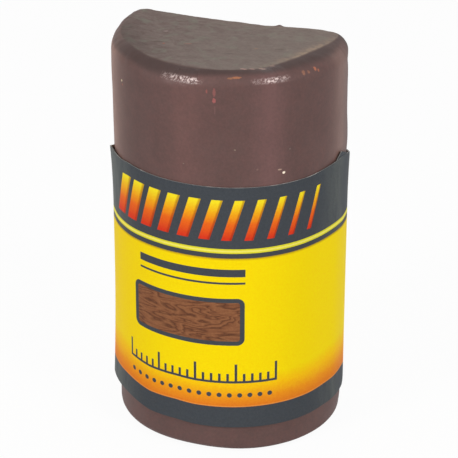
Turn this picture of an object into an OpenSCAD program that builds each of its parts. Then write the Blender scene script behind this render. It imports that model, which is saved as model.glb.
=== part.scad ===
// Furniture repair wax stick: a cast half-moon block of wax in a printed paper label.
// Millimetres. The foot stands on z = 0, the rounded front faces -Y and the hollow back +Y.
// The Z axis runs through the centre of the front curve.

/* [Wax stick] */
// Height of the stick
stick_h = 44; // [36:0.5:60]
// Radius of the rounded front at the top
front_r = 12.5; // [10:0.1:16]
// From the centre of the front curve to the two upright edges of the back
back_d = 4.8; // [2.5:0.1:6]
// How deep the back is hollowed between its two edges
back_hollow = 0.95; // [0.2:0.05:1.4]
// Rounding of the two upright edges of the back
side_r = 1.2; // [0.8:0.1:1.8]
// How far the foot is drawn in from the top on every side, so that the cast stick leaves its mould
draft = 0.2; // [0.1:0.05:0.6]

/* [Rounded edges of the wax] */
// Width of the rounding along the top of the back
top_back_w = 0.4; // [0.2:0.05:0.8]
// Height of the rounding along the top of the back
top_back_h = 0.6; // [0.2:0.05:1]
// Width of the rounding along the top of the front
top_front_w = 0.9; // [0.5:0.05:1.5]
// Height of the rounding along the top of the front
top_front_h = 1.2; // [0.5:0.05:2]
// Width of the top rounding where it is softest, at the right of the front
top_soft_w = 2.3; // [1:0.1:3]
// Height of the top rounding where it is softest
top_soft_h = 1.6; // [1:0.1:3]
// Width of the rounding at the right of the foot
foot_right_w = 1.1; // [0.5:0.1:2]
// Height of the rounding at the right of the foot
foot_right_h = 0.5; // [0.2:0.1:1.5]
// Width of the rounding at the left of the foot
foot_left_w = 2.4; // [0.5:0.1:3]
// Height of the rounding at the left of the foot
foot_left_h = 1.2; // [0.2:0.1:1.5]

/* [Label] */
// Cut height of the label
label_h = 28.2; // [24:0.1:29]
// Height of the label's lower edge above the foot, at its outer end
label_foot = 3.3; // [2:0.1:4]
// Thickness of the label paper
label_t = 0.12; // [0.08:0.01:0.2]
// Clearance between the wax and the label at the label's upper edge
label_gap = 0.12; // [0.06:0.01:0.2]
// Radius of the label's cut corners
cut_r = 1.5; // [0.6:0.1:1.6]
// How far the outer end laps over the inner end
lap = 3.6; // [3.4:0.1:8]
// From the outer end to the stick's rounded right edge
lap_stop = 1.8; // [0.5:0.1:4]
// How much higher the inner end starts than the outer end stops
skew = 0.9; // [0.1:0.1:1.5]
// How far the upper and lower edges of the label stand out
flare = 0.15; // [0.05:0.05:0.3]
// Height of each flared edge
flare_h = 3; // [1.8:0.2:5]
// Thickness of the adhesive in the lap
glue_t = 0.05; // [0.03:0.01:0.1]

/* [Hidden] */

// Angles in plan, counted from +X, of the softest parts of the top edge and of the foot
soft_a = -35;
foot_a = 190;
// How quickly the top edge sharpens away from its softest part
soft_power = 8;
// Where the point lies that the rings of the rounded edges draw in towards, in front radii
middle_share = -0.2;
middle = [0, middle_share * front_r];
// Length of the ramp by which the outer end climbs onto the inner one
ramp = 3;

// Facets: of a full turn on the front curve, of an upright edge, of the back, and of a rounding
turn_steps = 80;
side_steps = 6;
back_steps = 12;
round_steps = 6;

// Plan of the stick: a front arc, a hollow back arc and two corner arcs that touch them both
half_chord = sqrt(front_r ^ 2 - back_d ^ 2);
back_r = (half_chord ^ 2 + back_hollow ^ 2) / (2 * back_hollow);
back_y = back_d - back_hollow + back_r;
side_y = ((front_r - side_r) ^ 2 - (back_r + side_r) ^ 2 + back_y ^ 2) / (2 * back_y);
side_x = sqrt((front_r - side_r) ^ 2 - side_y ^ 2);
side_a = atan2(side_y, side_x);
back_a = atan2(back_y - side_y, -side_x);
front_steps = ceil(turn_steps * (180 + 2 * side_a) / 360);

// A point on an arc with the unit normal that leads out of the wax there
function on_arc(x, y, r, a, out = 1) = [x + r * cos(a), y + r * sin(a), out * cos(a), out * sin(a)];

// Values from a up to, and not including, b
function steps(a, b, n) = [for (i = [0:n - 1]) a + (b - a) * i / n];

// The whole outline at the top of the stick, anticlockwise from the right-hand end of the front arc
stick_plan = concat(
    [for (a = steps(side_a, back_a, side_steps)) on_arc(side_x, side_y, side_r, a)],
    [for (a = steps(back_a - 180, -back_a, back_steps)) on_arc(0, back_y, back_r, a, -1)],
    [for (a = steps(180 - back_a, 180 - side_a, side_steps)) on_arc(-side_x, side_y, side_r, a)],
    [for (a = steps(180 - side_a, 360 + side_a, front_steps)) on_arc(0, 0, front_r, a)]
);

// How far the wax is drawn in at a height by the draft
function draft_at(z) = draft * (1 - z / stick_h);

// From 0 to 1: how squarely a point of the plan lies in a direction from the centre
function towards(p, a) = (1 + cos(atan2(p.y, p.x) - a)) / 2;

// A smooth step from 0 to 1
function ease(t) = t <= 0 ? 0 : t >= 1 ? 1 : t * t * (3 - 2 * t);

// A size of the top rounding at a point of the plan, between its back, front and softest values
function top_size(p, back, front, soft) =
    back + (front - back) * ease(towards(p, -90)) + (soft - front) * towards(p, soft_a) ^ soft_power;

// A size of the foot rounding, between its right and left values
function foot_size(p, right, left) = right + (left - right) * towards(p, foot_a);

// A point of the stick's skin: moved in by the draft, and by w towards the middle
function skin(p, w, z) =
    let (q = [p.x, p.y] - draft_at(z) * [p[2], p[3]])
    let (m = middle - q)
    let (s = q + w * m / norm(m))
    [s.x, s.y, z];

// One ring of the foot's rounding and one of the top's, at an angle through the rounding
function foot_ring(a) = [for (p = stick_plan)
    let (w = foot_size(p, foot_right_w, foot_left_w), h = foot_size(p, foot_right_h, foot_left_h))
    skin(p, w * (1 - sin(a)), h * (1 - cos(a)))];
function top_ring(a) = [for (p = stick_plan)
    let (w = top_size(p, top_back_w, top_front_w, top_soft_w))
    let (h = top_size(p, top_back_h, top_front_h, top_soft_h))
    skin(p, w * (1 - cos(a)), stick_h - h * (1 - sin(a)))];

// Closed solid through rings of n points each, given from the bottom to the top
module loft(rings) {
    n = len(rings[0]);
    last = len(rings) - 1;
    sides = [for (k = [0:last - 1]) for (i = [0:n - 1])
        let (j = (i + 1) % n)
        each [[k * n + i, k * n + n + i, k * n + j], [k * n + j, k * n + n + i, k * n + n + j]]];
    foot = [for (i = [0:n - 1]) i];
    top = [for (i = [n - 1:-1:0]) last * n + i];
    polyhedron([for (ring = rings) each ring], concat(sides, [foot, top]));
}

// Path of the label from its inner end, once round the stick and over itself. The paper
// bridges the hollow of the back with a straight run between the two corner arcs.
rad = PI / 180;
to_side = lap + lap_stop;
lap_a = side_a - to_side / front_r / rad;
round_side = side_r * (90 - side_a) * rad;
at_back = to_side + round_side;
at_left = at_back + 2 * side_x;
at_front = at_left + round_side;
at_lap = at_front + front_r * (180 + lap_a + side_a) * rad;
label_len = at_lap + lap;

// The point of the stick's plan under a place on the path, with the normal
function path(s) =
    s <= to_side ? on_arc(0, 0, front_r, lap_a + s / front_r / rad)
    : s <= at_back ? on_arc(side_x, side_y, side_r, side_a + (s - to_side) / side_r / rad)
    : s <= at_left ? [side_x - (s - at_back), side_y + side_r, 0, 1]
    : s <= at_front ? on_arc(-side_x, side_y, side_r, 90 + (s - at_left) / side_r / rad)
    : on_arc(0, 0, front_r, 180 - side_a + (s - at_front) / front_r / rad);

// Places in the lap, shared by both layers and the adhesive, closer together in the cut corners
cut_places = [for (a = [0:90 / round_steps:90]) cut_r * (1 - cos(a))];
lap_places = concat(cut_places, [for (i = [round_steps:-1:0]) lap - cut_places[i]]);
front_step = front_r * 360 * rad / turn_steps;
label_places = concat(
    lap_places,
    [lap + lap_stop / 2],
    steps(to_side, at_back, side_steps),
    [at_back],
    steps(at_left, at_front, side_steps),
    steps(at_front, at_lap, ceil((at_lap - at_front) / front_step)),
    [for (s = lap_places) at_lap + s]
);

// Inner face of the paper, counted out from the stick's plan at its top
label_in = label_gap - draft_at(label_foot + label_h);

// How far a place on the label is lifted, by the layer under it and by the skew of the wrap
function layer_at(s) = (label_t + glue_t) * ease((s - at_lap + ramp) / ramp);
function lift_at(s) = skew * (1 - s / label_len);

// How much the cut corner takes off the height, above and below
function cut_at(s) =
    let (d = min(s, label_len - s))
    d >= cut_r ? 0 : cut_r - sqrt(cut_r ^ 2 - (cut_r - d) ^ 2);

// Section of the label at one place: four points up the inner face, then four down the outer one
function label_ring(s) =
    let (p = path(s))
    let (low = label_foot + lift_at(s) + cut_at(s))
    let (high = label_foot + lift_at(s) + label_h - cut_at(s))
    let (rows = [[low, flare], [low + flare_h, 0], [high - flare_h, 0], [high, flare]])
    let (inner = [for (r = rows) [r[0], label_in + layer_at(s) + r[1]]])
    let (outer = [for (i = [3:-1:0]) inner[i] + [0, label_t]])
    [for (r = concat(inner, outer)) [p.x + r[1] * p[2], p.y + r[1] * p[3], r[0]]];

module wax_stick() {
    angles = [0:90 / round_steps:90];
    color([0.40, 0.32, 0.30]) loft([for (a = angles) foot_ring(a), for (a = angles) top_ring(a)]);
}

module label_wrap() {
    color([0.93, 0.80, 0.15]) loft([for (s = label_places) label_ring(s)]);
}

// The adhesive fills the lap between the flared edges, clear of the cut corners
module lap_glue() {
    glue_places = [for (s = lap_places) if (s >= cut_r / 2 && s <= lap - cut_r / 2) path(s)];
    low = label_foot + skew + flare_h;
    high = label_foot + label_h - flare_h;
    near = label_in + label_t;
    inner = [for (p = glue_places) [p.x, p.y] + near * [p[2], p[3]]];
    outer = [for (p = glue_places) [p.x, p.y] + (near + glue_t) * [p[2], p[3]]];
    count = len(outer);
    color([0.85, 0.82, 0.70])
        translate([0, 0, low])
            linear_extrude(high - low)
                polygon(concat(inner, [for (i = [count - 1:-1:0]) outer[i]]));
}

wax_stick();
label_wrap();
lap_glue();
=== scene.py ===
import math

import bpy
import numpy as np
from mathutils import Matrix, Vector, noise

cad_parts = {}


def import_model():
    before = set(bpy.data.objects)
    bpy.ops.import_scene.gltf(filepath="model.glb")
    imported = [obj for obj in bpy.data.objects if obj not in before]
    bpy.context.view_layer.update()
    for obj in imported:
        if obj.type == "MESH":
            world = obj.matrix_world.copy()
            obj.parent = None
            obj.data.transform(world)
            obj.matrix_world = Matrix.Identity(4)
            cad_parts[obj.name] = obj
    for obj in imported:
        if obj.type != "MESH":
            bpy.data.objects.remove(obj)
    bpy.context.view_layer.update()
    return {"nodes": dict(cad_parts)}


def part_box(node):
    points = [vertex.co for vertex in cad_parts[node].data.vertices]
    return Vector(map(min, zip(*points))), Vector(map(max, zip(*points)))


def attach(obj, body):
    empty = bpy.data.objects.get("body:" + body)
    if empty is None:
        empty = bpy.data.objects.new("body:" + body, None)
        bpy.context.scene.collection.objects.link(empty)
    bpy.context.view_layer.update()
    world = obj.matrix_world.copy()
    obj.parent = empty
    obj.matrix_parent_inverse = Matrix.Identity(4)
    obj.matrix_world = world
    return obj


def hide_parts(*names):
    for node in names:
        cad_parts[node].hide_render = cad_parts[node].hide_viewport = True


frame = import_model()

# Lengths below are in millimetres and angles in degrees. Meshes are made in metres.
MM = 0.001
RAD = math.pi / 180

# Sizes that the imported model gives
wax_low, wax_high = [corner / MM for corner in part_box("wax_stick")]
label_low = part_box("label_wrap")[0] / MM
STICK_H = wax_high.z
FRONT_R = -wax_low.y
LABEL_FOOT = label_low.z

# Other sizes of the wax, as in the CAD: from the centre of the front curve to the edges of the back,
# how far the back is hollowed, the radius of its two upright edges, and how far the foot is drawn in
BACK_D = 4.8
BACK_HOLLOW = 0.95
SIDE_R = 1.2
DRAFT = 0.2

# The foot's rounding, as in the CAD: its width and height at the right and the left, and the plan angle
# of its left
FOOT_W = (1.1, 2.4)
FOOT_H = (0.5, 1.2)
FOOT_A = 190

# The point that the rings of the roundings draw in towards, as in the CAD
MIDDLE_SHARE = -0.2
MIDDLE = np.array([0, MIDDLE_SHARE * FRONT_R])

# Sizes of the label, as in the CAD: its cut height and thickness, the radius of its corners, its lap, from
# the outer end to the stick's right edge, how much higher the inner end starts than the outer end stops,
# the thickness of the adhesive, and the length of the ramp by which the outer end climbs onto the inner one
LABEL_H = 28.2
LABEL_T = 0.12
CUT_R = 1.5
LAP = 3.6
LAP_STOP = 1.8
SKEW = 0.9
GLUE_T = 0.05
RAMP = 3

# Camera: its direction and distance from the point it looks at, its lens and its roll, and the share of
# the distance at which it starts to see
AZIMUTH = 17.66
ELEVATION = 24.88
DISTANCE = 230.6
TARGET = Vector((-0.114, -0.036, 21.2))
LENS = 165.07
SENSOR = 36
ROLL = 0.10
CLIP_SHARE = 0.05


def srgb(r, g, b):
    """Linear colour, with alpha, of an sRGB colour from 0 to 255."""
    parts = [c / 255 for c in (r, g, b)]
    return [c / 12.92 if c <= 0.04045 else ((c + 0.055) / 1.055) ** 2.4 for c in parts] + [1]


def grey(level):
    """A linear grey, with alpha."""
    return [level, level, level, 1]


def ease(t):
    """A smooth step from 0 to 1."""
    t = np.clip(t, 0, 1)
    return t * t * (3 - 2 * t)


def look_up(table, place):
    """What a table of places and values gives at a place, with straight lines between its rows."""
    return np.interp(place, *zip(*table))


# Plan of the stick: a front arc, a hollow back arc and two corner arcs that touch them both
HALF_CHORD = math.sqrt(FRONT_R**2 - BACK_D**2)
BACK_R = (HALF_CHORD**2 + BACK_HOLLOW**2) / (2 * BACK_HOLLOW)
BACK_Y = BACK_D - BACK_HOLLOW + BACK_R
SIDE_Y = ((FRONT_R - SIDE_R) ** 2 - (BACK_R + SIDE_R) ** 2 + BACK_Y**2) / (2 * BACK_Y)
SIDE_X = math.sqrt((FRONT_R - SIDE_R) ** 2 - SIDE_Y**2)
SIDE_A = math.degrees(math.atan2(SIDE_Y, SIDE_X))
BACK_A = math.degrees(math.atan2(BACK_Y - SIDE_Y, -SIDE_X))


def on_circle(r, angle):
    """Plan coordinates of a plan angle on a circle round the centre of the front curve."""
    a = math.radians(angle)
    return r * math.cos(a), r * math.sin(a)


def arc(x, y, r, start, end, step, out=1):
    """Points with normals along an arc, about step apart, without the last one."""
    count = max(2, round(abs(math.radians(end - start)) * r / step))
    angles = np.radians(np.linspace(start, end, count, endpoint=False))
    c, s = np.cos(angles), np.sin(angles)
    return np.column_stack([x + r * c, y + r * s, out * c, out * s])


def stick_plan(step):
    """The stick's outline at its top, anticlockwise from the right-hand end of the front arc."""
    return np.concatenate([
        arc(SIDE_X, SIDE_Y, SIDE_R, SIDE_A, BACK_A, step),
        arc(0, BACK_Y, BACK_R, BACK_A - 180, -BACK_A, step, -1),
        arc(-SIDE_X, SIDE_Y, SIDE_R, 180 - BACK_A, 180 - SIDE_A, step),
        arc(0, 0, FRONT_R, 180 - SIDE_A, 360 + SIDE_A, step),
    ])


# How far apart along each axis two seeds take their noise
SEED_SHIFT = (17.3, 5.1, 29.7)


def noise_at(points, scale, seed):
    """Smooth noise from about -1 to 1 at points in millimetres, for features scale wide."""
    shift = Vector([seed * far for far in SEED_SHIFT])
    return np.array([noise.noise(Vector(p) / scale + shift) for p in points])


def make_mesh(name, points, faces, material):
    """A smooth mesh object from points in millimetres."""
    mesh = bpy.data.meshes.new(name)
    mesh.from_pydata([[c * MM for c in p] for p in points], [], faces)
    mesh.polygons.foreach_set("use_smooth", [True] * len(mesh.polygons))
    mesh.materials.append(material)
    piece = bpy.data.objects.new(name, mesh)
    bpy.context.scene.collection.objects.link(piece)
    return piece


def ring_faces(rings, count):
    """Quads between rings of count points each, and the n-gon that closes the first."""
    faces = [list(range(count))[::-1]]
    for k in range(rings - 1):
        for i in range(count):
            j = (i + 1) % count
            faces.append([k * count + i, k * count + j, (k + 1) * count + j, (k + 1) * count + i])
    return faces


# Painted spots: how far their edge wanders, where it is as a share of their size, and how soft it is
SPOT_FRINGE = 1.2
SPOT_EDGE = 0.4
SPOT_SOFT = 0.5


class Shader:
    """Adds nodes to a material or a world. Most calls return the socket that holds their result."""

    def __init__(self, owner):
        owner.use_nodes = True
        self.owner = owner
        self.tree = owner.node_tree

    def put(self, socket, value):
        if isinstance(value, bpy.types.NodeSocket):
            self.tree.links.new(value, socket)
        else:
            socket.default_value = value

    def node(self, kind, inputs=(), **settings):
        """A new node with these settings, and with inputs set by name or number."""
        made = self.tree.nodes.new("ShaderNode" + kind)
        for name, value in settings.items():
            setattr(made, name, value)
        for key, value in dict(inputs).items():
            self.put(made.inputs[key], value)
        return made

    def math(self, operation, *values):
        return self.node("Math", enumerate(values), operation=operation).outputs[0]

    def vector(self, operation, *values, output="Vector"):
        return self.node("VectorMath", enumerate(values), operation=operation).outputs[output]

    def times(self, a, b):
        return self.math("MULTIPLY", a, b)

    def scaled(self, value, by, plus):
        """The value times by, and plus added."""
        return self.math("MULTIPLY_ADD", value, by, plus)

    def distance(self, dx, dy):
        return self.math("SQRT", self.math("ADD", self.times(dx, dx), self.times(dy, dy)))

    def step(self, value, edge, soft):
        """0 below edge and 1 above it, over a width of soft."""
        start = self.math("SUBTRACT", edge, soft / 2)
        end = self.math("ADD", edge, soft / 2)
        inputs = {"Value": value, "From Min": start, "From Max": end}
        return self.node("MapRange", inputs, interpolation_type="SMOOTHSTEP").outputs["Result"]

    def below(self, value, edge, soft):
        """1 below edge and 0 above it, over a width of soft."""
        return self.math("SUBTRACT", 1.0, self.step(value, edge, soft))

    def between(self, value, low, high, soft):
        """1 between low and high, and 0 outside."""
        return self.times(self.step(value, low, soft), self.below(value, high, soft))

    def box(self, x, y, left, right, low, high, soft):
        """1 inside an upright rectangle, and 0 outside."""
        return self.times(self.between(x, left, right, soft), self.between(y, low, high, soft))

    def blend(self, kind, factor, a, b):
        """b over a by a factor, in the way that kind says."""
        inputs = {"Factor": factor, "A": a, "B": b}
        return self.node("Mix", inputs, data_type="RGBA", blend_type=kind).outputs["Result"]

    def mix(self, factor, a, b):
        return self.blend("MIX", factor, a, b)

    def ramp(self, value, *stops):
        made = self.node("ValToRGB", {0: value})
        points = made.color_ramp.elements
        while len(points) < len(stops):
            points.new(1)
        for point, (place, colour) in zip(points, stops):
            point.position = place
            point.color = colour
        return made.outputs["Color"]

    def split(self, vector):
        """The three parts of a vector."""
        return self.node("SeparateXYZ", {0: vector}).outputs

    def place(self, scale=(1, 1, 1)):
        """The place on the piece, in millimetres, each axis times its scale."""
        where = self.node("TexCoord").outputs["Object"]
        return self.vector("MULTIPLY", where, [s / MM for s in scale])

    def slant(self, angle, scale):
        """The place on the piece, turned by an angle about the y axis, then each axis times its scale."""
        turned = self.node("Mapping", {"Vector": self.place(), "Rotation": (0, math.radians(angle), 0)})
        return self.vector("MULTIPLY", turned.outputs[0], scale)

    def noise(self, vector, size, detail=2, rough=0.5, warp=0):
        """Noise from 0 to 1 with features about size millimetres wide."""
        inputs = {"Vector": vector, "Scale": 1 / size, "Detail": detail, "Roughness": rough,
                  "Distortion": warp}
        return self.node("TexNoise", inputs).outputs["Fac"]

    def patches(self, vector, size, edge, soft, detail=3, rough=0.6):
        """1 where noise is above edge and 0 where it is below, over a width of soft."""
        return self.step(self.noise(vector, size, detail, rough), edge, soft)

    def grained(self, colour, grain, spread):
        """The colour, darker and lighter by a grain that runs from 0 to 1."""
        shade = self.ramp(grain, (0.3, grey(0.5 - spread)), (0.7, grey(0.5 + spread)))
        return self.blend("OVERLAY", 0.5, colour, shade)

    def spot(self, colour, here, fringe, centre, size, tint, turn=0):
        """Paints an uneven spot of tint over colour, size millimetres from its centre to its edge."""
        inputs = {"Vector": here, "Location": centre, "Rotation": (0, 0, math.radians(turn)), "Scale": size}
        local = self.node("Mapping", inputs, vector_type="TEXTURE").outputs[0]
        far = self.vector("LENGTH", local, output="Value")
        reach = self.scaled(fringe, -SPOT_FRINGE, far)
        return self.mix(self.below(reach, SPOT_EDGE, SPOT_SOFT), colour, srgb(*tint))

    def attribute(self, name):
        return self.node("Attribute", attribute_name=name).outputs["Fac"]

    def bump(self, height, depth, strength, normal=None):
        """A bump of height from 0 to 1 that is depth millimetres deep, over another one's normal."""
        made = self.node("Bump", {"Height": height, "Distance": depth * MM, "Strength": strength})
        if normal is not None:
            self.put(made.inputs["Normal"], normal)
        return made.outputs["Normal"]

    def finish(self, **values):
        """Sets inputs of the surface by name, with _ for a space, and returns the material."""
        surface = self.tree.nodes["Principled BSDF"]
        for name, value in values.items():
            self.put(surface.inputs[name.replace("_", " ")], value)
        return self.owner


def new_shader(name):
    """A Shader for a new material."""
    return Shader(bpy.data.materials.new(name))


# Marks on the walls of the wax: plan angle and height, how far they reach along and up, and their colour
WALL_MARKS = (
    ((-79.9, 42.0), (0.14, 0.45), (132, 82, 78)),
    ((-80.0, 41.15), (0.17, 0.27), (154, 88, 85)),
    ((-79.6, 40.1), (0.08, 0.5), (108, 78, 74)),
    ((-83.4, 42.1), (0.08, 0.2), (140, 82, 76)),
    ((-72.4, 43.45), (0.3, 0.08), (142, 98, 74)),
    ((-69.4, 43.5), (0.42, 0.09), (160, 104, 74)),
    ((-35.1, 43.3), (0.2, 0.4), (138, 96, 78)),
    ((-32.1, 43.2), (0.14, 0.3), (132, 90, 74)),
    ((-27.4, 43.35), (0.18, 0.45), (166, 102, 78)),
    ((-25.8, 43.1), (0.12, 0.3), (148, 92, 74)),
    ((-46.1, 32.8), (0.16, 0.14), (255, 238, 214)),
    ((-48.2, 33.2), (0.22, 0.08), (172, 142, 126)),
    ((-70.2, 35.8), (0.1, 0.09), (130, 110, 98)),
    ((-95.0, 33.9), (0.12, 0.07), (124, 102, 94)),
    ((-59.5, 33.5), (0.12, 0.1), (120, 92, 86)),
    ((-43.0, 35.3), (0.1, 0.08), (112, 96, 88)),
    ((-136.2, 40.7), (0.14, 0.12), (206, 190, 156)),
    ((-135.4, 40.3), (0.14, 0.1), (140, 84, 70)),
)

# Above this height they lie on the rounding, further in by this share of what they lie above it
MARK_ROUND_Z = 42.8
MARK_DRAW_IN = 0.5

# Marks on the top: place in plan, how far they reach along and across in the front view, and their
# colour. How far all of them reach down
TOP_MARKS = (
    ((-6.3, -5.0), (0.75, 0.07), (86, 74, 68)),
    ((-5.6, -5.25), (0.14, 0.1), (150, 96, 80)),
    ((-3.2, -4.6), (0.45, 0.1), (140, 104, 94)),
    ((1.7, -6.2), (0.5, 0.08), (92, 80, 74)),
    ((3.9, -3.6), (0.2, 0.1), (146, 118, 96)),
    ((-6.6, -1.7), (0.3, 0.12), (150, 132, 128)),
    ((6.4, -3.2), (0.6, 0.07), (94, 84, 76)),
    # These four pale specks along the front of the rim are painted highlight on the edge
    ((4.5, -9.9), (0.35, 0.1), (178, 144, 136)),
    ((5.3, -9.5), (0.3, 0.08), (166, 134, 126)),
    ((6.2, -8.95), (0.4, 0.1), (172, 142, 130)),
    ((6.95, -8.0), (0.3, 0.07), (164, 136, 124)),
)
TOP_MARK_DEPTH = 0.5

# Heights between which the slashed rounding has pale flecks, which are painted glints, how soft those ends
# are, and the direction of the slashes
GLINT_PAINT_Z = (42.78, 43.25)
GLINT_PAINT_SOFT = 0.3
SLASH_A = 40

# Soft upright bands painted on the wax above the label: plan angle, half width, strength and colour. The
# light ones at -94, -53.5, -3 and -156 degrees are painted highlights and sheen, the dark ones at 18 and
# -131 degrees painted shade. The height at which they start, and over what height
PAINTED_LIGHT_BANDS = (
    (-94, 1.9, 0.34, (122, 84, 79)),
    (-53.5, 1.7, 0.46, (124, 88, 86)),
    (-3, 2, 0.6, (138, 108, 99)),
    (18, 1.0, 0.9, (56, 40, 30)),
    (-156, 3.8, 0.75, (152, 120, 109)),
    (-131, 2.8, 0.3, (70, 49, 44)),
    (45, 2.2, 0.35, (124, 84, 76)),
    (100, 3, 0.35, (124, 84, 76)),
)
STREAK_FOOT = 24
STREAK_SOFT = 10

# Colours of the cast sides, of the painted shade under the cut edge and of the painted glints
SIDE_DARK = srgb(82, 60, 57)
SIDE_LIGHT = srgb(102, 77, 73)
SIDE_RUDDY = srgb(106, 70, 66)
RIM_SHADE = srgb(60, 46, 43)
PAINTED_GLINT = srgb(238, 214, 208)

# Colours of the cut top: its streaks, its dull patches, its paler right, and its paler rim, scuffed and
# partly painted highlight
TOP_TONES = ((0.25, srgb(92, 74, 70)), (0.45, srgb(110, 94, 89)), (0.6, srgb(120, 106, 100)),
             (0.8, srgb(133, 120, 112)))
TOP_DULL = srgb(118, 112, 102)
TOP_PALE = srgb(134, 123, 114)
TOP_SCUFF_HIGHLIGHT = srgb(162, 140, 120)

# Where the top grows paler to the right, and over what width
PALE_X = -2
PALE_SOFT = 22

# Roughness of the cast sides, and what the smooth slashes, the cut top and the grain add to it
SIDE_ROUGH = 0.52
SLASH_ROUGH = -0.44
TOP_ROUGH = 0.25
GRAIN_ROUGH = 0.1


def wax_sides(s, here, height, mottle):
    """Colour of the cast sides: mottled, with ruddy patches, and soft upright bands that are mostly painted
    highlights, sheen and shade.
    """
    ruddy = s.times(s.patches(here, size=0.8, edge=0.5, soft=0.4, detail=4, rough=0.7), 0.3)
    side = s.mix(ruddy, s.mix(mottle, SIDE_DARK, SIDE_LIGHT), SIDE_RUDDY)
    drawn_out = s.noise(s.place((1, 1, 0.25)), size=1.1, detail=4, rough=0.65)
    broken = s.scaled(drawn_out, by=1.2, plus=0.4)
    broken = s.times(broken, s.step(height, STREAK_FOOT, STREAK_SOFT))
    in_plan = s.place((1, 1, 0))
    for angle, half, strength, tint in PAINTED_LIGHT_BANDS:
        away = s.vector("DISTANCE", in_plan, (*on_circle(FRONT_R, angle), 0), output="Value")
        fall = s.math("POWER", s.math("DIVIDE", away, half), 2)
        level = s.times(s.math("EXPONENT", s.times(fall, -1)), strength)
        side = s.mix(s.times(level, broken), side, srgb(*tint))
    return side


def wax_top(s, here, x):
    """Colour of the cut top: streaked by the knife, with dull patches and a paler rim, scuffed and partly
    painted highlight.
    """
    streaks = s.noise(s.slant(AZIMUTH, (0.5, 1, 1)), size=0.8, detail=5, rough=0.7, warp=0.6)
    cut = s.ramp(streaks, *TOP_TONES)
    cut = s.mix(s.patches(here, size=1.7, edge=0.6, soft=0.2), cut, TOP_DULL)
    cut = s.mix(s.times(s.step(x, PALE_X, PALE_SOFT), 0.45), cut, TOP_PALE)
    # The paler rim: scuffing, and partly painted highlight along the edge
    worn = s.times(s.attribute("scuff_highlight"), s.patches(here, size=0.7, edge=0.42, soft=0.4, rough=0.7))
    return s.mix(s.times(worn, 0.85), cut, TOP_SCUFF_HIGHLIGHT)


def wax_marks(s, colour, here):
    """Small stains, nicks and crumbs, and specks of painted highlight along the top's edge, painted over
    the walls and the top.
    """
    fringe = s.noise(here, size=0.16, rough=0.6)
    for (angle, z), (along, upward), tint in WALL_MARKS:
        near = FRONT_R - MARK_DRAW_IN * max(0, z - MARK_ROUND_Z)
        centre = (*on_circle(near, angle), z)
        colour = s.spot(colour, here, fringe, centre, (along, along, upward), tint)
    for (x, y), (along, across), tint in TOP_MARKS:
        centre = (x, y, STICK_H)
        colour = s.spot(colour, here, fringe, centre, (along, across, TOP_MARK_DEPTH), tint, AZIMUTH)
    return colour


def wax_material():
    """Cast wax: mottled brown, softly glossy on the moulded sides and matt on the cut top."""
    s = new_shader("wax")
    here = s.place()
    x, _, z = s.split(here)
    top = s.attribute("top")
    edge = s.attribute("edge")
    mottle = s.noise(here, size=3.2, detail=4, rough=0.6)
    grain = s.noise(here, size=0.3, detail=3, rough=0.6)

    colour = s.mix(top, wax_sides(s, here, z, mottle), wax_top(s, here, x))
    # Painted shade: darker on the rounding under the cut edge and along the top's left margin
    under = s.times(s.attribute("rim"), s.scaled(mottle, by=0.5, plus=0.7))
    colour = s.mix(s.math("MINIMUM", under, 1.0), colour, RIM_SHADE)
    # Pale flecks on the slashed rounding: painted glints, where the softboxes reflect
    slashes = s.noise(s.slant(SLASH_A, (0.55, 0.55, 1)), size=0.15, detail=3, rough=0.6, warp=0.4)
    painted_glints = s.times(s.between(z, *GLINT_PAINT_Z, GLINT_PAINT_SOFT), s.step(slashes, edge=0.52, soft=0.1))
    colour = s.mix(s.times(s.times(painted_glints, edge), 0.9), colour, PAINTED_GLINT)
    colour = s.grained(wax_marks(s, colour, here), grain, spread=0.08)

    rough = s.scaled(grain, GRAIN_ROUGH, s.scaled(edge, SLASH_ROUGH, SIDE_ROUGH))
    rough = s.scaled(top, TOP_ROUGH, rough)
    fine = s.scaled(grain, 0.6, s.noise(here, size=0.12))
    normal = s.bump(fine, depth=0.015, strength=0.5)
    normal = s.bump(s.times(slashes, edge), depth=0.07, strength=1, normal=normal)
    return s.finish(Base_Color=colour, Roughness=rough, Normal=normal, IOR=1.44, Specular_IOR_Level=0.36)


# The print, in millimetres to the right of the middle of the front and up from the label's foot: the head
# of the foot's band and its slope, the head of the field, the line and its core, and the marks
FOOT_BAND = 2.5
FOOT_SLOPE = 0.009
FIELD_TOP = 20.38
LINE = (20.93, 21.45)
LINE_CORE = (21.09, 21.29)
BARS = {"left": -15.4, "low": 22.4, "high": 26.8, "pitch": 2.4, "count": 11, "slant": 0.32}
BAR_SHARES = (0.74, 0.24)
RULES = ((-10.7, 1.6, 18.15, 19.05), (-10.7, 1.6, 17.25, 17.5))
SWATCH = {"centre": (-5.05, 12.75), "half": (6.6, 2.8), "corner": 0.8, "frame": 0.5}
SCALE = {"left": -12.7, "low": 5.4, "pitch": 0.88, "count": 20, "long": 2.3, "short": 1.15, "line": 0.28,
         "every": 5}
DOTS = {"left": -12.7, "up": 3.95, "pitch": 1.1, "count": 16, "size": 0.27}

# How soft the edges of the bands, of round marks and of straight ones are
BAND_SOFT = 0.08
ROUND_SOFT = 0.07
MARK_SOFT = 0.06

# Colours of the ink, of the line and its core, of the bars from foot to head with the shade at their
# right, and of the swatch's wood
INK = srgb(67, 71, 76)
LINE_TONES = (srgb(225, 215, 44), srgb(239, 228, 104))
BAR_TONES = ((0.05, srgb(214, 56, 30)), (0.4, srgb(232, 104, 28)), (0.65, srgb(240, 164, 24)),
             (0.95, srgb(245, 222, 36)))
BAR_SHADE = srgb(140, 40, 24)
WOOD_TONES = ((0.0, srgb(94, 58, 42)), (0.25, srgb(128, 82, 56)), (0.7, srgb(142, 94, 64)),
              (1.0, srgb(98, 62, 44)))

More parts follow.
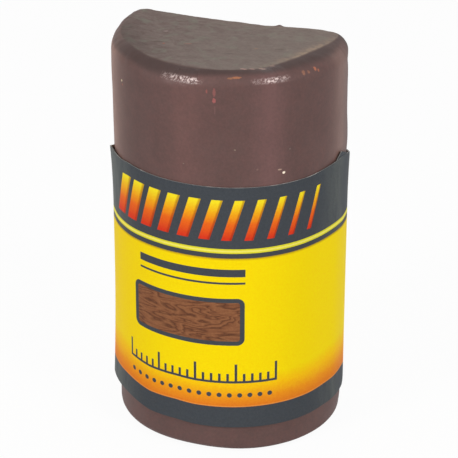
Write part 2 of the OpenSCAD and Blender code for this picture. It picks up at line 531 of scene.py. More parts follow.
# The field fades from orange at its foot to yellow. How high that reaches in the middle, how much higher
# it does this far to the sides, the most of that, and how uneven it is
FIELD_TONES = ((0, srgb(222, 118, 34)), (0.3, srgb(236, 148, 26)), (0.65, srgb(247, 192, 12)),
               (1, srgb(247, 217, 3)))
FADE_H = 3.8
FADE_MORE = 0.7
FADE_SIDE = 14
FADE_MOST = 1.2
FADE_UNEVEN = 0.12

# The field is duller on its left: where, over what width, and by what shares
DULL_X = -11
DULL_SOFT = 8
DULL = [0.965, 0.92, 0.8, 1]

# The field's margins: the shade at its head, how far that lies below the edge and how soft it is, and
# the pale strip at its foot and its height
HEAD_SHADE = srgb(150, 104, 30)
HEAD_IN = 0.1
HEAD_SOFT = 0.5
FOOT_PALE = srgb(230, 144, 62)
FOOT_STRIP = 0.12

# Where the ink is paler, a painted sheen towards both sides broken into streaky patches: away from this
# place by more than this, but not past these two ends. How soft both limits are
INK_SHEEN = srgb(112, 116, 110)
SHEEN_X = -0.5
SHEEN_AWAY = 13.5
SHEEN_ENDS = (-24, 15)
SHEEN_SOFT = (8, 2)

# The worn strip at the label's outer end
WORN_END = srgb(128, 132, 122)
WORN_END_W = 0.35
WORN_END_SOFT = 0.15


def label_material():
    """Printed label paper, with its print laid out in millimetres along and up the label."""
    s = new_shader("label_print")
    along, up, _ = s.split(s.node("UVMap", uv_map=PRINT_MAP).outputs[0])
    x = s.scaled(along, PRINT_UNIT, -(PRINT_MIDDLE + INNER_MORE))
    y = s.times(up, PRINT_UNIT)
    low = s.scaled(x, -FOOT_SLOPE, y)

    bands = dark_bands(s, x)
    colour = s.mix(s.step(low, FOOT_BAND, BAND_SOFT), bands, yellow_field(s, x, y, low))
    colour = s.mix(s.step(y, FIELD_TOP, BAND_SOFT), colour, bands)
    line = s.mix(s.between(y, *LINE_CORE, BAND_SOFT), *LINE_TONES)
    colour = s.mix(s.between(y, *LINE, MARK_SOFT), colour, line)
    colour = band_bars(s, colour, x, y)
    for rule in RULES:
        colour = s.mix(s.box(x, y, *rule, MARK_SOFT), colour, INK)
    for mark in (wood_swatch, tick_scale, dot_row):
        colour = mark(s, colour, x, y)

    fine = s.noise(s.place(), size=0.22, rough=0.6)
    colour = s.grained(colour, fine, spread=0.09)
    rough = s.scaled(fine, by=0.12, plus=0.46)
    normal = s.bump(s.noise(s.place(), size=0.4, detail=3), depth=0.008, strength=0.4)
    return s.finish(Base_Color=colour, Roughness=rough, Normal=normal, IOR=1.48, Specular_IOR_Level=0.06)


def yellow_field(s, x, y, low):
    """The field between the two bands, with low its height above the label's sloping foot."""
    sides = s.math("POWER", s.math("DIVIDE", x, FADE_SIDE), 2)
    reach = s.scaled(s.math("MINIMUM", sides, FADE_MOST), FADE_MORE, FADE_H)
    fade = s.math("DIVIDE", s.math("SUBTRACT", low, FOOT_BAND), reach)
    cloud = s.math("SUBTRACT", s.noise(s.place(), size=1.2, detail=3, rough=0.6), 0.5)
    field = s.ramp(s.scaled(cloud, FADE_UNEVEN, fade), *FIELD_TONES)
    field = s.blend("MULTIPLY", s.below(x, DULL_X, DULL_SOFT), field, DULL)
    field = s.mix(s.step(y, FIELD_TOP - HEAD_IN, HEAD_SOFT), field, HEAD_SHADE)
    return s.mix(s.between(low, FOOT_BAND, FOOT_BAND + FOOT_STRIP, BAND_SOFT), field, FOOT_PALE)


def dark_bands(s, x):
    """Ink of the foot's and the head's band, with painted sheen in pale patches at both sides, and worn at
    the outer end.
    """
    away = s.math("ABSOLUTE", s.math("SUBTRACT", x, SHEEN_X))
    beside = s.times(s.step(away, SHEEN_AWAY, SHEEN_SOFT[0]), s.between(x, *SHEEN_ENDS, SHEEN_SOFT[1]))
    # Pale patches of painted sheen on the ink towards both sides
    sheen_patches = s.times(beside, s.patches(s.place((1, 1, 0.2)), size=0.9, edge=0.4, soft=0.5))
    ink = s.mix(s.times(sheen_patches, 0.6), INK, INK_SHEEN)
    end = s.step(x, LABEL_LEN - PRINT_MIDDLE - WORN_END_W, WORN_END_SOFT)
    return s.mix(s.times(end, 0.6), ink, WORN_END)


def band_bars(s, colour, x, y):
    """Slanted bars that grow thinner to the right, red at the foot and yellow at the head."""
    pitch, count, low = BARS["pitch"], BARS["count"], BARS["low"]
    up = s.math("SUBTRACT", y, low)
    upright = s.scaled(up, -BARS["slant"], x)
    place = s.math("DIVIDE", s.math("SUBTRACT", upright, BARS["left"]), pitch)
    number = s.math("FLOOR", place)
    within = s.math("FRACT", place)
    share = s.scaled(number, (BAR_SHARES[1] - BAR_SHARES[0]) / (count - 1), BAR_SHARES[0])
    soft = MARK_SOFT / pitch
    bar = s.between(within, soft, s.math("ADD", share, soft), soft)
    bar = s.times(bar, s.between(y, low, BARS["high"], MARK_SOFT))
    bar = s.times(bar, s.between(place, 0, count, soft))
    tint = s.ramp(s.math("DIVIDE", up, BARS["high"] - low), *BAR_TONES)
    right = s.step(s.math("DIVIDE", within, share), edge=0.86, soft=0.2)
    return s.mix(bar, colour, s.mix(s.times(right, 0.55), tint, BAR_SHADE))


def wood_swatch(s, colour, x, y):
    """A framed chip of wood grain, in browns like the wax."""
    corner = SWATCH["corner"]
    beyond = []
    for value, middle, half in zip((x, y), SWATCH["centre"], SWATCH["half"]):
        away = s.math("ABSOLUTE", s.math("SUBTRACT", value, middle))
        beyond.append(s.math("MAXIMUM", s.math("SUBTRACT", away, half - corner), 0.0))
    far = s.distance(*beyond)
    outside = s.step(far, corner, ROUND_SOFT)
    border = s.step(far, corner - SWATCH["frame"], ROUND_SOFT)
    drawn_out = s.node("CombineXYZ", {0: s.times(x, 0.22), 1: y}).outputs[0]
    rings = s.noise(drawn_out, size=1.6, detail=3, rough=0.55, warp=0.5)
    wood = s.ramp(s.math("FRACT", s.times(rings, 9.0)), *WOOD_TONES)
    return s.mix(outside, s.mix(border, wood, INK), colour)


def tick_scale(s, colour, x, y):
    """A plain scale: a base line with short ticks and a long one at every fifth."""
    pitch, low, line = SCALE["pitch"], SCALE["low"], SCALE["line"]
    place = s.math("DIVIDE", s.math("SUBTRACT", x, SCALE["left"]), pitch)
    number = s.math("FLOOR", s.math("ADD", place, 0.001))
    fifth = s.math("LESS_THAN", s.math("MODULO", number, SCALE["every"]), 0.5)
    height = s.scaled(fifth, SCALE["long"] - SCALE["short"], SCALE["short"] + low)
    tick = s.below(s.math("FRACT", place), line / pitch, MARK_SOFT)
    tick = s.times(tick, s.below(y, height, MARK_SOFT))
    marks = s.math("MAXIMUM", tick, s.below(y, low + line, MARK_SOFT))
    right = SCALE["count"] * pitch + line + SCALE["left"]
    room = low + SCALE["long"] + 0.1
    return s.mix(s.times(marks, s.box(x, y, SCALE["left"], right, low, room, MARK_SOFT)), colour, INK)


def dot_row(s, colour, x, y):
    """A row of small dots."""
    place = s.math("DIVIDE", s.math("SUBTRACT", x, DOTS["left"]), DOTS["pitch"])
    dx = s.times(s.math("SUBTRACT", s.math("FRACT", place), 0.5), DOTS["pitch"])
    dy = s.math("SUBTRACT", y, DOTS["up"])
    dots = s.below(s.distance(dx, dy), DOTS["size"], ROUND_SOFT)
    return s.mix(s.times(dots, s.between(place, 0, DOTS["count"], 0.01)), colour, INK)


# Paper: how dark the shade between its fibres is, and the colour of its bare places
FIBRE_SHADE = 0.86
BARE_PAPER = srgb(236, 232, 226)


def paper_material(name, colour, bare, rough):
    """Paper, for the label's cut edges and its inner face, paler in places by a share called bare."""
    s = new_shader(name)
    fibre = s.noise(s.place((1, 1, 3)), size=0.3, detail=3, rough=0.6)
    tint = s.mix(fibre, [c * FIBRE_SHADE for c in colour[:3]] + [1], colour)
    patches = s.patches(s.place(), size=1.3, edge=0.56, soft=0.2, detail=2, rough=0.5)
    tint = s.mix(s.times(patches, bare), tint, BARE_PAPER)
    return s.finish(Base_Color=tint, Roughness=rough, Normal=s.bump(fibre, depth=0.01, strength=0.5))


def adhesive_material():
    """Pressure-sensitive adhesive: pale amber, glossy and a little uneven."""
    s = new_shader("adhesive")
    cloud = s.noise(s.place(), size=0.8, detail=3, rough=0.6)
    colour = s.mix(cloud, srgb(205, 192, 150), srgb(226, 216, 182))
    rough = s.scaled(cloud, by=0.2, plus=0.2)
    return s.finish(Base_Color=colour, Roughness=rough, Normal=s.bump(cloud, depth=0.01, strength=0.5))


# Spacing of the wax mesh round the stick and up it, in sight and under the label, and how far in from
# the label's lower and upper edges that starts
WAX_STEP = 0.18
WAX_STEP_HIDDEN = 1.0
HIDDEN_IN = (1.5, 4.5)

# Steps of each rounding, and rings of the top
ROUND_STEPS = 10
TOP_RINGS = 56

# Width and height of the top's rounding by plan angle, finer than the CAD's
TOP_W = ((-180, 0.87), (-160, 1.1), (-140, 1.3), (-110, 1.35), (-88, 1.35), (-72, 1.4), (-60, 1.62),
         (-46, 2.18), (-35, 2.5), (-24, 2.68), (-10, 2.55), (0, 2.25), (10, 1.7), (20, 1.05), (40, 0.5),
         (60, 0.4), (120, 0.42), (140, 0.48), (160, 0.6), (180, 0.87))
TOP_H = ((-180, 0.9), (-140, 1.15), (-60, 1.25), (-40, 1.5), (-20, 1.5), (0, 1.6), (15, 1.8), (30, 1.1),
         (50, 0.7), (130, 0.6), (160, 0.7), (180, 0.9))

# Unevenness of the cast sides, the trimmed rounding and the cut top, as layers of noise: how high each
# is, how wide, what each axis is multiplied by first, and its seed
WAVES = ((0.035, 6, (1, 1, 1), 1), (0.015, 1.6, (1, 1, 1), 2))
TRIMMING = ((0.05, 0.9, (1, 1, 0.6), 3), (0.02, 0.35, (1, 1, 1), 4))
RIPPLES = ((0.05, 0.8, (0.3, 1, 1), 5), (0.02, 0.35, (1, 1, 1), 6))

# Bumps of the wax: plan angle and height, how far they reach along and up, and how far they stand out
BULGES = (
    ((-152, 41.0), (5, 3.5), 0.12),
    ((17, 32.4), (2.4, 2.5), 0.17),
    ((17.5, 41.7), (2.6, 1.0), -0.1),
    ((8, 1.8), (5, 1.4), 0.16),
    ((-155, 35.0), (3, 3.0), 0.07),
)

# The top isn't quite level: height that it gains along the line that faces the front view, and how far
# down the stick that is felt
TOP_LEVEL = ((-12.6, -0.36), (-11.6, 0.05), (-10.4, 0.24), (-9.4, 0.14), (-8.2, 0), (0.5, -0.02),
             (3.3, -0.15), (5, -0.06), (8.3, 0), (9.6, -0.08), (10.8, -0.24), (11.8, -0.42), (12.4, -0.52))
TOP_LEVEL_DOWN = 4

# Extra rounding of the foot where it is worn: its plan angle, half width in degrees and share
WORN_A = -90
WORN_WIDTH = 24
WORN_SHARE = 0.45

# At the left of the front the top was cut off a larger rounding, and meets it at an angle: where that is
# in plan, its half width, what it adds to the width and the height, and what it takes off the angle
BROKEN_A = -110
BROKEN_WIDTH = 28
BROKEN = (0.4, 0.9, 30)

# Painted shade on the rounding under the top's cut edge, by plan angle: how dark, the slope where it
# starts, and over how many degrees
RIM_PAINTED_SHADE = ((-180, 0.4), (-160, 0.7), (-110, 0.85), (-88, 0.8), (-70, 0.72), (-50, 0.75), (-30, 0.8),
            (0, 0.8), (25, 0.4), (180, 0.3))
RIM_START = ((-180, 20), (-115, 24), (-98, 32), (-88, 38), (-74, 47), (-53, 52), (-30, 52), (-10, 50),
             (180, 40))
RIM_SOFT = 22

# The paler strip along the top's own margin, scuffed and partly painted highlight along the edge, by plan
# angle, and how far in it reaches
RIM_SCUFF_HIGHLIGHT = ((-180, 0), (-62, 0), (-50, 0.3), (-30, 0.75), (-12, 1), (2, 0.8), (15, 0.2), (180, 0))
SCUFF_HIGHLIGHT_REACH = 0.75

# Painted shade along the top's margin at its left, by plan angle, and how far in it reaches
MARGIN_PAINTED_SHADE = ((-180, 0.4), (-160, 0.5), (-138, 0.45), (-116, 0), (180, 0))
MARGIN_REACH = 2

# Where tools have left the rounding smooth and slashed, by plan angle. There the softboxes glint on it, and
# its pale flecks are painted glints
GLINTS = ((-180, 0), (-108.5, 0), (-107, 0.25), (-102.5, 0.35), (-101, 0.8), (-95, 1), (-88.5, 1),
          (-87.5, 0.25), (-85, 0), (-63, 0), (-61.5, 0.25), (-56, 0.4), (-54.6, 1), (-49, 1), (-48, 0.55),
          (-44.5, 0.45), (-42.5, 0), (180, 0))

# A crumb of wax on the back edge of the top: its place, how far it reaches and how high it stands
CRUMB = (4.3, 3.85)
CRUMB_SIZE = (0.55, 0.25)
CRUMB_H = 0.28


def around(table, angle):
    """Values given by plan angle, with the corners between them eased."""
    degrees = np.degrees(angle)
    turned = [(degrees + step + 180) % 360 - 180 for step in (-8, -5, -2, 2, 5, 8)]
    return np.mean([look_up(table, at) for at in turned], axis=0)


def turned_from(angle, middle):
    """How far angles lie from a plan angle, the short way round, in radians."""
    return np.angle(np.exp(1j * (angle - math.radians(middle))))


def bell(angle, middle, width):
    """1 at a plan angle, and less on both sides of it."""
    return np.exp(-(np.degrees(turned_from(angle, middle)) / width) ** 2)


def layered(layers, points):
    """The sum of layers of noise at points."""
    return sum(height * noise_at(points * stretch, size, seed) for height, size, stretch, seed in layers)


def roundings(angle):
    """Width and height of the foot's and the top's rounding at plan angles, and how far the top's turns."""
    left = (1 + np.cos(angle - math.radians(FOOT_A))) / 2
    worn = 1 + WORN_SHARE * bell(angle, WORN_A, WORN_WIDTH)
    foot_w, foot_h = [(s[0] + (s[1] - s[0]) * left) * worn for s in (FOOT_W, FOOT_H)]
    broken = bell(angle, BROKEN_A, BROKEN_WIDTH)
    top_w = around(TOP_W, angle) + BROKEN[0] * broken
    top_h = around(TOP_H, angle) + BROKEN[1] * broken
    return foot_w, foot_h, top_w, top_h, np.radians(90 - BROKEN[2] * broken)


def wall_shares(top_h):
    """Heights of the wall's rings, as shares of the wall's height."""
    hidden = (LABEL_FOOT + HIDDEN_IN[0], LABEL_FOOT + LABEL_H - HIDDEN_IN[1])
    levels = np.concatenate([
        np.arange(FOOT_H[1] + WAX_STEP, hidden[0], WAX_STEP),
        np.arange(hidden[0], hidden[1], WAX_STEP_HIDDEN),
        np.arange(hidden[1], STICK_H - top_h.max(), WAX_STEP),
    ])
    return (levels - levels[0]) / (levels[-1] - levels[0])


def unevenness(points, turned, lift, rounding, top):
    """How far each point stands out, with turned the points as seen from the front."""
    wall = lift * (layered(WAVES, points) + rounding * layered(TRIMMING, points)) * (1 - top)
    push = wall + top * layered(RIPPLES, turned)
    angle = np.arctan2(points[:, 1], points[:, 0])
    for (bulge_a, bulge_z), (along, upward), out_by in BULGES:
        side = FRONT_R * turned_from(angle, bulge_a) / along
        push += out_by * np.exp(-(side**2) - ((points[:, 2] - bulge_z) / upward) ** 2) * (1 - top)
    return push


def wax_stick():
    """The block of wax, with its uneven cast sides, trimmed edge and rippled top."""
    plan = stick_plan(WAX_STEP)
    count = len(plan)
    xy, out = plan[:, :2], plan[:, 2:]
    angle = np.arctan2(xy[:, 1], xy[:, 0])
    foot_w, foot_h, top_w, top_h, turn = roundings(angle)
    rings, lifts, tops = [], [], []

    def add(ring, lift=1, top=0):
        rings.append(ring)
        lifts.append(lift)
        tops.append(top)

    def skin(w, z):
        """The ring at heights z, drawn in by widths w."""
        q = xy - (DRAFT * (1 - z / STICK_H))[:, None] * out
        m = MIDDLE - q
        q = q + (w / np.hypot(m[:, 0], m[:, 1]))[:, None] * m
        return np.column_stack([q, z])

    for a in np.radians(np.linspace(0, 90, ROUND_STEPS + 1)):
        add(skin(foot_w * (1 - np.sin(a)), foot_h * (1 - np.cos(a))), math.sin(a))
    low, high = foot_h + WAX_STEP, STICK_H - top_h - WAX_STEP
    for share in wall_shares(top_h):
        add(skin(np.zeros(count), low + (high - low) * share))
    first = len(rings)
    for k in range(ROUND_STEPS + 1):
        a = turn * k / ROUND_STEPS
        inward = top_w * (1 - np.cos(a)) / (1 - np.cos(turn))
        add(skin(inward, STICK_H - top_h * (1 - np.sin(a) / np.sin(turn))), top=float(k == ROUND_STEPS))
    rim = rings[-1]
    for k in range(1, TOP_RINGS):
        ring = rim.copy()
        ring[:, :2] = MIDDLE + (rim[:, :2] - MIDDLE) * (1 - k / TOP_RINGS)
        add(ring, top=1)

    points = np.concatenate(rings)
    top = np.repeat(tops, count)
    lift = np.repeat(lifts, count)
    normal = np.column_stack([np.tile(out, (len(rings), 1)), np.zeros(len(points))])
    rounding, painted_shade, scuff_highlight = np.zeros((3, len(points)))

    def part(k):
        """The points of a ring, counted from the foot of the top's rounding."""
        return slice((first + k) * count, (first + k + 1) * count)

    # By plan angle: the depth and start of the painted shade on the rounding, that of the top's left
    # margin, and the paler edge strip that is partly painted highlight
    deep, start, margin, scuff_highlight_share = [
        around(table, angle) for table in (RIM_PAINTED_SHADE, RIM_START, MARGIN_PAINTED_SHADE, RIM_SCUFF_HIGHLIGHT)]
    for k in range(ROUND_STEPS + 1):
        a = turn * k / ROUND_STEPS
        tall = np.arctan2(top_w * np.sin(a) / (1 - np.cos(turn)), top_h * np.cos(a) / np.sin(turn))
        normal[part(k), :2] *= np.cos(tall)[:, None]
        normal[part(k), 2] = np.sin(tall)
        rounding[part(k)] = np.sin(np.pi * k / ROUND_STEPS) ** 0.5
        painted_shade[part(k)] = deep * ease((np.degrees(tall) - start) / RIM_SOFT)
    normal[part(ROUND_STEPS + 1).start:] = [0, 0, 1]
    # On the top's margin: the paler edge strip, partly painted highlight, and the painted shade at its left
    for k in range(TOP_RINGS):
        away = k / TOP_RINGS * np.hypot(*(rim[:, :2] - MIDDLE).T)
        scuff_highlight[part(ROUND_STEPS + k)] = scuff_highlight_share * np.exp(-(away / SCUFF_HIGHLIGHT_REACH) ** 2)
        painted_shade[part(ROUND_STEPS + k)] = margin * np.exp(-(away / MARGIN_REACH) ** 2)

    turned = points @ np.array(Matrix.Rotation(math.radians(-AZIMUTH), 3, "Z")).T
    push = unevenness(points, turned, lift, rounding, top)
    crumb = np.exp(-((points[:, :2] - CRUMB) ** 2 / np.array(CRUMB_SIZE) ** 2).sum(axis=1) * 2)
    near_top = ease((points[:, 2] - (STICK_H - TOP_LEVEL_DOWN)) / TOP_LEVEL_DOWN)
    points = points + normal * push[:, None]
    points[:, 2] += near_top * (CRUMB_H * crumb + look_up(TOP_LEVEL, turned[:, 0]))

    faces = ring_faces(len(rings), count)
    last = (len(rings) - 1) * count
    points = np.vstack([points, points[last:].mean(axis=0)])
    faces += [[last + i, last + (i + 1) % count, len(points) - 1] for i in range(count)]
    piece = make_mesh("wax_block", points, faces, wax_material())
    glints = rounding * np.tile(look_up(GLINTS, np.degrees(angle)), len(rings))
    # Layers for the material: the top, the painted shade, where the rounding is smooth and slashed with
    # painted glints, and the paler edge strip that is partly painted highlight
    layers = (("top", top, 1), ("rim", painted_shade, 0), ("edge", glints, 0), ("scuff_highlight", scuff_highlight, 0))
    for name, values, middle in layers:
        layer = piece.data.attributes.new(name, "FLOAT", "POINT")
        layer.data.foreach_set("value", np.append(values, middle).astype(np.float32))
    return piece


# Path of the label from its inner end, once round the stick and over itself
TO_SIDE = LAP + LAP_STOP
LAP_A = SIDE_A - TO_SIDE / FRONT_R / RAD
ROUND_SIDE = SIDE_R * (90 - SIDE_A) * RAD
AT_BACK = TO_SIDE + ROUND_SIDE
AT_LEFT = AT_BACK + 2 * SIDE_X
AT_FRONT = AT_LEFT + ROUND_SIDE
AT_LAP = AT_FRONT + FRONT_R * (180 + LAP_A + SIDE_A) * RAD
LABEL_LEN = AT_LAP + LAP

# Print coordinates run in units of 100 mm, so that the whole label lies inside the map
PRINT_MAP = "print"
PRINT_UNIT = 100

# How the label's edges and print slope along the front, from the lower edge to the upper one:
# share of the label's height, and rise from the right of the front to its left
SLOPES = ((0, 0.80), (0.09, 0.68), (0.72, 0.07), (1, 0.22))

# Where the label passes the left of the stick in the front view, and the middle of the print
LEFT_EDGE = AT_FRONT + FRONT_R * (180 + AZIMUTH - (180 - SIDE_A)) * RAD
PRINT_MIDDLE = LEFT_EDGE + FRONT_R * 90 * RAD

# How far the upper and lower edges wander up, by the distance from the middle of the print, and the height
# above the line over which the upper edge's share of it grows
UPPER_LIFT = ((-19.6, 0.2), (-18.2, 0.22), (-16.4, 0.12), (-14.4, 0.05), (-12.7, 0.24), (-9, 0.18),
              (-5, 0.12), (0, 0.03), (4.5, -0.01), (9, 0.05), (12.5, 0.29), (14.4, 0.44), (16.5, 0.08),
              (18.5, -0.3))
LOWER_LIFT = ((-21, 0), (-19, 0.3), (-13, 0.26), (-9.5, -0.09), (-6, 0.06), (-4, -0.08), (0, -0.13),
              (7, -0.16), (9.5, -0.14), (12.6, 0.04), (14.4, 0.13), (16.2, 0.12), (17.2, -0.05), (18, -0.4))
UPPER_SOFT = 5

# How far the printed line wanders up between them
LINE_LIFT = ((-19, 0), (-16, -0.13), (-12.8, -0.12), (-11.5, -0.08), (-10.2, -0.03), (-8.7, 0), (-5.6, 0),
             (-3.3, -0.025), (-1.2, -0.08), (0.9, -0.115), (3.1, -0.145), (6.5, -0.13), (7.8, -0.11),
             (9.9, -0.06), (11.5, -0.05), (13, 0.03), (14.2, 0.05), (15.3, -0.04), (18, 0))

# By the same distance: how far the label stands off its path, how much further its upper and lower edges
# do, and how high up the lower one does. It bulges at the stick's right edge
STAND_OFF = ((-58, 0.03, 0.16, 0.05, 4), (-54.5, 0.05, 0.2, 0.06, 4), (-52, 0.1, 0.25, -0.08, 14),
             (-50, 0.12, 0.12, 0.08, 4), (-47, 0.05, 0, 0, 4), (-21, 0.06, 0.01, 0.03, 4),
             (-20.4, 0.03, 0, 0.17, 10), (-19.5, 0.11, 0, 0.33, 17), (-18.5, 0.16, 0.25, 0.3, 15),
             (-17.3, 0.12, 0.19, 0.27, 13), (-14, 0.05, 0.04, 0.12, 8), (-6, 0.015, 0, 0.07, 4),
             (10, 0.015, 0, 0.05, 4), (13, 0.03, 0.02, 0.1, 5), (16, 0.06, 0.06, 0.1, 6),
             (19, 0.1, 0.18, -0.02, 12))

# How far down the upper edge does
STAND_OFF_H = 6.5

# How much further up the upper edge lies, by its place on the path: it sinks to the stick's right
# edge, rises a little across the back, and is back in place round the left edge
BACK_LIFT = ((-0.5, 0.55), (0.15, 0.28), (0.8, -0.04), (2, -0.56), (3.5, -1.22), (5.3, -1.9), (7, -1.9),
             (12, -1.5), (30, -0.95), (35, -1.05), (36.7, -1.02), (37.4, -0.8), (38, -0.56), (38.8, -0.3),
             (40, 0))

# How much further the inner end reaches than the lap, the width and height that are cut off its upper
# corner, and the rounding of the outer end's
INNER_MORE = 0.65
INNER_CUT = (1.15, 1.1)
OUTER_CUT_R = 0.5

# Rows of the label mesh, closer together near its edges, and its step along the front. Its places at
# each end, from the inner end to the stick's right edge, round each edge and across the back
LABEL_ROWS = 64
LABEL_STEP = 0.25
CORNER_STEPS = 12
LAP_STEPS = 24
SIDE_STEPS = 10
BACK_STEPS = 60

# The label's surfaces, in the order of its materials
PRINTED, CUT_EDGE, INSIDE = range(3)


def path(s):
    """The point of the stick's plan under a place on the label's path, with the normal."""
    def on_arc(x, y, r, a):
        return x + r * math.cos(a * RAD), y + r * math.sin(a * RAD), math.cos(a * RAD), math.sin(a * RAD)
    if s <= TO_SIDE:
        return on_arc(0, 0, FRONT_R, LAP_A + s / FRONT_R / RAD)
    if s <= AT_BACK:
        return on_arc(SIDE_X, SIDE_Y, SIDE_R, SIDE_A + (s - TO_SIDE) / SIDE_R / RAD)
    if s <= AT_LEFT:
        return SIDE_X - (s - AT_BACK), SIDE_Y + SIDE_R, 0, 1
    if s <= AT_FRONT:
        return on_arc(-SIDE_X, SIDE_Y, SIDE_R, 90 + (s - AT_LEFT) / SIDE_R / RAD)
    return on_arc(0, 0, FRONT_R, 180 - SIDE_A + (s - AT_FRONT) / FRONT_R / RAD)


def rounded_off(d, r):
    """What a rounded corner takes off the label's height, at a distance from its end."""
    return 0 if d >= r else r - math.sqrt(r**2 - (r - d) ** 2)


def label_places():
    """Places on the label's path where its mesh has a column of points."""
    fine = CUT_R * (1 - np.cos(np.radians(np.linspace(0, 90, CORNER_STEPS))))
    return np.unique(np.concatenate([
        fine - INNER_MORE,
        [INNER_CUT[0] - INNER_MORE],
        AT_LAP + fine,
        LABEL_LEN - fine,
        np.linspace(CUT_R - INNER_MORE, TO_SIDE, LAP_STEPS),
        np.linspace(TO_SIDE, AT_BACK, SIDE_STEPS),
        np.linspace(AT_BACK, AT_LEFT, BACK_STEPS),
        np.linspace(AT_LEFT, AT_FRONT, SIDE_STEPS),
        np.linspace(AT_FRONT, AT_LAP, round((AT_LAP - AT_FRONT) / LABEL_STEP)),
    ]).round(6))


def label_faces(n, m):
    """Faces of a sheet with n columns and m rows of points on each side, and which surface each is."""
    size = n * m
    faces, kinds = [], []

    def add(kind, *corners):
        faces.append(corners)
        kinds.append(kind)

    for i in range(n - 1):
        for j in range(m - 1):
            a, b, c, d = i * m + j, (i + 1) * m + j, (i + 1) * m + j + 1, i * m + j + 1
            add(PRINTED, a, b, c, d)
            add(INSIDE, size + a, size + d, size + c, size + b)
        low, high = i * m, i * m + m - 1
        add(CUT_EDGE, low, size + low, size + low + m, low + m)
        add(CUT_EDGE, high, high + m, size + high + m, size + high)
    for j in range(m - 1):
        end = (n - 1) * m + j
        add(CUT_EDGE, j, j + 1, size + j + 1, size + j)
        add(CUT_EDGE, end, size + end, size + end + 1, end + 1)
    return faces, kinds


def label_wrap():
    """The printed label, wrapped once round the stick, with thickness, a lap and lifted edges."""
    places = label_places()
    rows = (1 - np.cos(np.linspace(0, math.pi, LABEL_ROWS))) / 2
    base = -DRAFT * (1 - (LABEL_FOOT + LABEL_H) / STICK_H)

    outer, inner, uv = [], [], []
    for s in places:
        x, y, nx, ny = path(s)
        start, stop = s + INNER_MORE, LABEL_LEN - s
        low_cut = rounded_off(min(start, stop), CUT_R)
        high_cut = max(INNER_CUT[1] * (1 - start / INNER_CUT[0]), rounded_off(stop, OUTER_CUT_R))
        layer = (LABEL_T + GLUE_T) * float(ease((s - AT_LAP + RAMP) / RAMP))
        along = s - PRINT_MIDDLE
        upper_lift = look_up(UPPER_LIFT, along) * (s > AT_FRONT)
        lower_lift = look_up(LOWER_LIFT, along)
        line_lift = look_up(LINE_LIFT, along)
        back_lift = look_up(BACK_LIFT, s)
        at, *columns = zip(*STAND_OFF)
        gap, upper, lower, lower_h = [np.interp(along, at, column) for column in columns]
        for row in rows:
            v = low_cut + (LABEL_H - low_cut - high_cut) * row
            rise = look_up(SLOPES, v / LABEL_H)
            lift = np.interp(s, (0, AT_FRONT, AT_LAP, LABEL_LEN), (SKEW, rise, 0, 0))
            lift += upper_lift * ease((v - LINE[1]) / UPPER_SOFT) + lower_lift * ease(1 - v / (LABEL_H / 2))
            lift += back_lift * (v / LABEL_H) ** 2
            lift += line_lift * ease(1 - abs(v - LINE[1]) / (LABEL_H - LINE[1]))
            off = base + gap + layer
            off += upper * max(0, 1 - (LABEL_H - v) / STAND_OFF_H) ** 2
            off += lower * max(0, 1 - v / lower_h) ** 2
            z = LABEL_FOOT + lift + v
            inner.append((x + off * nx, y + off * ny, z))
            outer.append((x + (off + LABEL_T) * nx, y + (off + LABEL_T) * ny, z))
            uv.append((start / PRINT_UNIT, v / PRINT_UNIT))

    faces, kinds = label_faces(len(places), len(rows))
    piece = make_mesh("printed_label", outer + inner, faces, label_material())
    mesh = piece.data
    mesh.materials.append(paper_material("paper_edge", srgb(128, 130, 128), bare=0.42, rough=0.75))
    mesh.materials.append(paper_material("paper_inside", srgb(226, 220, 200), bare=0.2, rough=0.6))
    mesh.polygons.foreach_set("material_index", kinds)
    mesh.polygons.foreach_set("use_smooth", [kind != CUT_EDGE for kind in kinds])
    layer = mesh.uv_layers.new(name=PRINT_MAP)
    where = np.zeros(len(mesh.loops), dtype=np.int32)
    mesh.loops.foreach_get("vertex_index", where)
    layer.data.foreach_set("uv", np.array(uv, dtype=np.float32)[where % len(uv)].ravel())
    return piece


# The floor: half its width, its grey, and how white the camera and mirrors see it
FLOOR_HALF = 1500
FLOOR_GREY = 0.85
FLOOR_WHITE = 0.95

# How brightly the surround lights the stick
SURROUND = 0.39


def seen_directly(s):
    """1 for what the camera, mirrors and glass see, and 0 for what lights the object."""
    rays = s.node("LightPath").outputs
    shiny = s.math("MAXIMUM", rays["Is Glossy Ray"], rays["Is Transmission Ray"])
    return s.math("MAXIMUM", rays["Is Camera Ray"], shiny)


def stage():
    """White sweep: the camera sees it nearly white, and it keeps the object's shadow."""
    s = new_shader("floor")
    s.finish(Base_Color=grey(FLOOR_GREY), Roughness=0.9)
    lit = s.tree.nodes["Principled BSDF"].outputs[0]
    white = s.node("Emission").outputs[0]
    mixed = s.node("MixShader", {0: s.times(seen_directly(s), FLOOR_WHITE), 1: lit, 2: white})
    s.put(s.tree.nodes["Material Output"].inputs["Surface"], mixed.outputs[0])
    corners = [(x * FLOOR_HALF, y * FLOOR_HALF, 0) for x, y in ((-1, -1), (1, -1), (1, 1), (-1, 1))]
    make_mesh("floor", corners, [(0, 1, 2, 3)], s.owner)


def world():
    """A pale surround that the camera and mirrors see as white."""
    s = Shader(bpy.data.worlds.new("studio"))
    bpy.context.scene.world = s.owner
    back = s.tree.nodes["Background"]
    s.put(back.inputs["Color"], grey(1))
    s.put(back.inputs["Strength"], s.math("MAXIMUM", seen_directly(s), SURROUND))


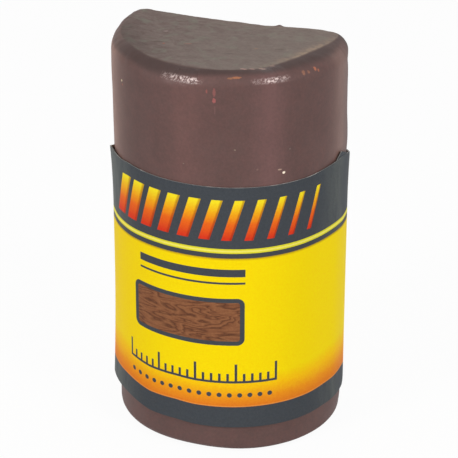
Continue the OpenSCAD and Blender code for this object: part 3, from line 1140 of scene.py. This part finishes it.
# Lamps: name, azimuth and elevation from the stick, distance, width, height, power in watts,
# and whether mirrors see them
LAMPS = (
    ("left_softbox", AZIMUTH - 51, 27, 500, 110, 220, 0.96, True),
    ("right_softbox", AZIMUTH + 43, 27, 500, 100, 200, 0.85, True),
    ("top_softbox", AZIMUTH, 80, 600, 400, 400, 0.55, False),
)


def direction(azimuth, elevation):
    """Unit vector from the stick towards a place seen at that azimuth and elevation."""
    a, e = math.radians(azimuth), math.radians(elevation)
    return Vector((math.sin(a) * math.cos(e), -math.cos(a) * math.cos(e), math.sin(e)))


def lights():
    """Softboxes that face the middle of the stick."""
    aim = Vector((0, 0, STICK_H / 2))
    for name, azimuth, elevation, distance, width, height, power, mirrored in LAMPS:
        lamp = bpy.data.lights.new(name, "AREA")
        lamp.shape = "RECTANGLE"
        lamp.size = width * MM
        lamp.size_y = height * MM
        lamp.energy = power
        holder = bpy.data.objects.new(name, lamp)
        holder.visible_glossy = mirrored
        back = direction(azimuth, elevation)
        holder.location = (aim + back * distance) * MM
        holder.rotation_euler = (-back).to_track_quat("-Z", "Y").to_euler()
        bpy.context.scene.collection.objects.link(holder)


def camera():
    """The camera, at the photograph's viewing angle."""
    data = bpy.data.cameras.new("camera")
    data.sensor_width = SENSOR
    data.lens = LENS
    data.clip_start = DISTANCE * MM * CLIP_SHARE
    made = bpy.data.objects.new("camera", data)
    back = direction(AZIMUTH, ELEVATION)
    right = Vector((0, 0, 1)).cross(back).normalized()
    above = back.cross(right)
    r = math.radians(ROLL)
    right, above = math.cos(r) * right + math.sin(r) * above, math.cos(r) * above - math.sin(r) * right
    turn = Matrix((right, above, back)).transposed().to_4x4()
    made.matrix_world = Matrix.Translation((TARGET + back * DISTANCE) * MM) @ turn
    bpy.context.scene.collection.objects.link(made)
    bpy.context.scene.camera = made


camera()
lights()
world()
stage()
bpy.context.scene.view_settings.view_transform = "Standard"

wax = wax_stick()
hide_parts("wax_stick")
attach(wax, "stick")

label = label_wrap()
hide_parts("label_wrap")
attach(label, "label")

glue = frame["nodes"]["lap_glue"]
glue.data.materials.clear()
glue.data.materials.append(adhesive_material())
